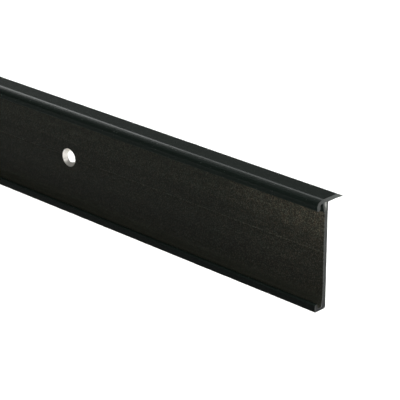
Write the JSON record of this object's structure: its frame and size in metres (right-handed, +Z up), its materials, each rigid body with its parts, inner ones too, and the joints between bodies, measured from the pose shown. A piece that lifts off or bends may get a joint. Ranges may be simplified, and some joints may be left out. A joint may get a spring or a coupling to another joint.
{
  "type": "door sweep",
  "caption": "Straight screw-on door sweep: countersunk aluminium carrier rail with a J-shaped foot, and a dark polymer strip with a front hook and a bevelled sealing lip.",
  "frame": {"origin": "on the rail's flat back face, at mid length and at mid height of the whole section", "axes": "+X along the sweep, +Y out of the back face towards the door leaf, +Z up as pictured, towards the edge that carries the seal strip"},
  "size_m": [1, 0.0128, 0.04],
  "materials": {
    "carrier_rail": "dark bronze anodised, fine grain",
    "seal_clip": "smooth black, semi-gloss",
    "sealing_lip": "smooth black, satin"
  },
  "bodies": {
    "rail": {"carrier_rail": "carrier_rail"},
    "strip": {"seal_clip": "seal_clip"},
    "lip": {"sealing_lip": "sealing_lip"}
  },
  "joints": [
    {"name": "strip_slide", "type": "slide", "parent": "rail", "child": "strip", "axis": [1, 0, 0], "range_m": [0, 0.95]},
    {"name": "lip_flex", "type": "hinge", "parent": "strip", "child": "lip", "pos_m": [0, 0.00175, 0.01925], "axis": [1, 0, 0], "range_deg": [-20, 20], "stiffness_Nm_per_rad": 1.1}
  ]
}
